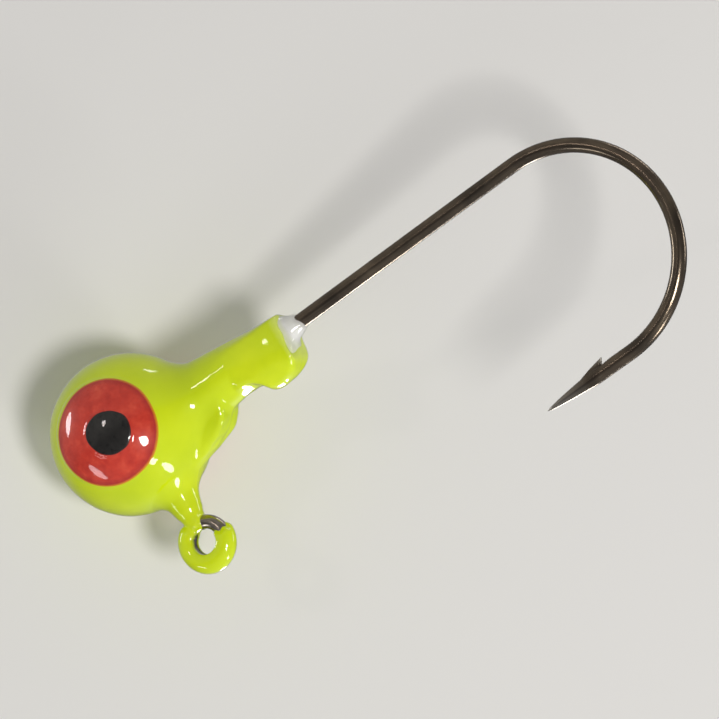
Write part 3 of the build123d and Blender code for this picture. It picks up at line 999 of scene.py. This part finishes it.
fit(mesh_field("chartreuse_coat", coat_field, low, high, STEP),
    CHARTREUSE, "colour_coat")
fit(mesh_field("primer_coat", base_field, low, (*high[:2], -1.0), STEP * 1.25),
    PRIMER, "base_coat")
lacquer = fit(mesh_field("lacquer_coat", clear_field, low, high, STEP),
              LACQUER, "clear_coat")

for side, word, seed in ((1, "left", 41), (-1, "right", 57)):
    iris = build_dot("iris_dot_" + word, side, IRIS_R, under=0.0, seed=seed,
                     shift=IRIS_AT[side], wave=0.028)
    fit(iris, RED, "iris_" + word)
    pupil = build_dot("pupil_dot_" + word, side, PUPIL_R, under=DOT_T * 0.92, seed=seed + 7,
                      shift=PUPIL_AT[side], wave=0.030)
    fit(pupil, BLACK, "pupil_" + word)

fit(mesh_field("lead_casting", lead_field, (clear_low[0] - 0.2, *low[1:]),
               (*high[:2], -0.9), STEP * 1.35), LEAD, "head_casting")

# ---------------------------------------------------------------------------
# stage: a plain pale floor, and a plain pale card behind the piece that only
# shows from close to the camera's direction
# ---------------------------------------------------------------------------
AZIMUTH, ELEVATION, ROLL = math.radians(-18.0), math.radians(14.5), math.radians(36.0)
# from the piece to the camera
BACK = Vector((math.sin(AZIMUTH) * math.cos(ELEVATION),
               -math.cos(AZIMUTH) * math.cos(ELEVATION), math.sin(ELEVATION)))
tail_dir = Vector((-1, 0, 0))
tail_dir = (tail_dir - BACK * BACK.dot(tail_dir)).normalized()
side_dir = BACK.cross(tail_dir)               # a quarter turn anticlockwise from the tail
RIGHT = tail_dir * math.cos(ROLL) - side_dir * math.sin(ROLL)
UP = BACK.cross(RIGHT)
BOARD_COLOUR = (0.80, 0.79, 0.77)


def mat_board(name, from_camera):
    """Pale matt board, seen only from close to the camera's direction, or else only
    from everywhere else."""
    s = new_shader(name)
    cloud = s.noise(s.coords(), scale=0.02, detail=3)
    colour = s.mix(s.remap(cloud, to=(0.0, 0.25)), BOARD_COLOUR,
                   tuple(c * 0.93 for c in BOARD_COLOUR))
    board = s.principled(Base_Color=colour, Roughness=0.85, Specular_IOR_Level=0.15)
    geometry = s.add("NewGeometry").outputs
    facing = s.add("VectorMath", {0: geometry["Incoming"], 1: BACK}, operation="DOT_PRODUCT")
    close = s.math("GREATER_THAN", facing.outputs["Value"], math.cos(math.radians(11.0)))
    seen = s.math("MULTIPLY", close, s.add("LightPath").outputs["Is Camera Ray"])
    if not from_camera:
        # seen from above, and lost in the backdrop further out
        far = s.add("VectorMath", {0: geometry["Position"]}, operation="LENGTH")
        fade = s.remap(far.outputs["Value"], to=(1.0, 0.0), over=(0.045, 0.16))
        seen = s.math("MULTIPLY", s.math("SUBTRACT", 1.0, seen), fade)
        seen = s.math("MULTIPLY", seen, s.math("SUBTRACT", 1.0, geometry["Backfacing"]))
    return s.finish(s.mix_shader(seen, s.add("BsdfTransparent").outputs[0], board))


def sheet(name, centre, right, up, half, mat, hidden_from):
    """A square sheet of 24 by 24 faces, hidden from some kinds of ray."""
    n = 24
    row = n + 1
    t = np.linspace(-half, half, row)
    verts = [tuple(centre + right * a + up * b) for b in t for a in t]
    starts = [j * row + i for j in range(n) for i in range(n)]
    mesh = bpy.data.meshes.new(name)
    mesh.from_pydata(verts, [], [(k, k + 1, k + row + 1, k + row) for k in starts])
    mesh.update()
    ob = bpy.data.objects.new(name, mesh)
    bpy.context.scene.collection.objects.link(ob)
    ob.data.materials.append(mat)
    for ray in hidden_from:
        setattr(ob, "visible_" + ray, False)


ball = Vector((BALL_X * MM, 0, BALL_Z * MM))
floor_z = (BALL_Z - SKIN_R - CLEAR_T - 0.02) * MM
sheet("floor", Vector((0, 0, floor_z)), Vector((1, 0, 0)), Vector((0, 1, 0)), 1.2,
      mat_board("pale_floor", from_camera=False), ("shadow", "diffuse", "glossy"))
sheet("card", ball - BACK * (SKIN_R + CLEAR_T + DOT_T * 2 + 0.15) * MM, RIGHT, UP, 0.4,
      mat_board("pale_card", from_camera=True),
      ("shadow", "diffuse", "glossy", "transmission"))

# soft lights: name, direction from the piece, distance (m), size (m), power (W), colour
LIGHT_TARGET = Vector((-0.010, 0, -0.003))
LIGHTS = (
    ("key", (-0.435, -0.736, 0.521), 0.30, (0.055, 0.075), 0.44, (1.0, 0.98, 0.95)),
    ("window", (0.710, -0.282, -0.638), 0.30, (0.05, 0.12), 0.16, (0.94, 0.97, 1.0)),
    ("glint", (0.101, -0.944, -0.316), 0.34, (0.03, 0.03), 0.03, (1.0, 0.90, 0.88)),
    ("fill", (0.80, -0.50, 0.35), 0.32, (0.05, 0.14), 0.10, (0.96, 0.98, 1.0)),
    ("rear_key", (0.35, 0.80, 0.55), 0.32, (0.06, 0.09), 0.30, (1.0, 0.99, 0.97)),
    ("rear_strip", (-0.85, 0.45, 0.25), 0.32, (0.03, 0.16), 0.12, (0.97, 0.98, 1.0)),
    ("top", (-0.25, 0.05, 1.0), 0.32, (0.14, 0.05), 0.24, (1, 1, 1)),
    ("low_strip", (-0.684, 0.399, -0.598), 0.32, (0.03, 0.18), 0.10, (0.98, 0.98, 1.0)),
)
for name, direction, distance, size, power, colour in LIGHTS:
    direction = Vector(direction).normalized()
    light = bpy.data.lights.new(name, "AREA")
    light.shape = "ELLIPSE"
    light.size, light.size_y = size
    light.energy = power
    light.color = colour
    lamp = bpy.data.objects.new(name, light)
    lamp.location = LIGHT_TARGET + direction * distance
    lamp.rotation_mode = "QUATERNION"
    lamp.rotation_quaternion = (-direction).to_track_quat("-Z", "Y")
    bpy.context.scene.collection.objects.link(lamp)
    lamp.visible_camera = False


def build_world():
    """A grey studio, darker round the horizon, that the camera sees as a plain backdrop."""
    world = bpy.data.worlds.new("studio")
    bpy.context.scene.world = world
    s = Shader(world, "OutputWorld")
    z = s.split(s.add("TexCoord").outputs["Generated"])["Z"]
    studio = s.ramp(s.remap(z, to=(0.0, 1.0), over=(-1, 1)), [
        (0.0, (0.44, 0.435, 0.42)), (0.42, (0.34, 0.335, 0.325)),
        (0.50, (0.17, 0.17, 0.175)), (0.62, (0.20, 0.20, 0.205)),
        (0.80, (0.36, 0.365, 0.375)), (1.0, (0.42, 0.425, 0.44))])
    on_camera = s.add("LightPath").outputs["Is Camera Ray"]
    colour = s.mix(on_camera, studio, (0.80, 0.795, 0.785))
    s.finish(s.add("Background", {"Color": colour, "Strength": 1.0}).outputs[0])


build_world()

# camera: a long lens, framed on the hook and the lacquered head
cam_data = bpy.data.cameras.new("camera")
cam_data.lens, cam_data.sensor_width = 200, 36
cam = bpy.data.objects.new("camera", cam_data)
bpy.context.scene.collection.objects.link(cam)
bpy.context.scene.camera = cam
points = np.vstack([np.array([tuple(q.co) for q in ob.data.vertices])[::7]
                    for ob in (hook, lacquer)])
across, upward = points @ np.array(RIGHT), points @ np.array(UP)
middle = (RIGHT * float((across.min() + across.max()) / 2)
          + UP * float((upward.min() + upward.max()) / 2) + BACK * BACK.dot(ball))
half = max(across.max() - across.min(), upward.max() - upward.min()) / 2 * 1.16
distance = half / (cam_data.sensor_width / 2 / cam_data.lens)
turned = Matrix((RIGHT, UP, BACK)).transposed().to_4x4()
cam.matrix_world = Matrix.Translation(middle + BACK * distance) @ turned
cam_data.clip_start, cam_data.clip_end = 0.005, 20

bpy.context.scene.view_settings.view_transform = "Standard"
bpy.context.scene.view_settings.look = "None"
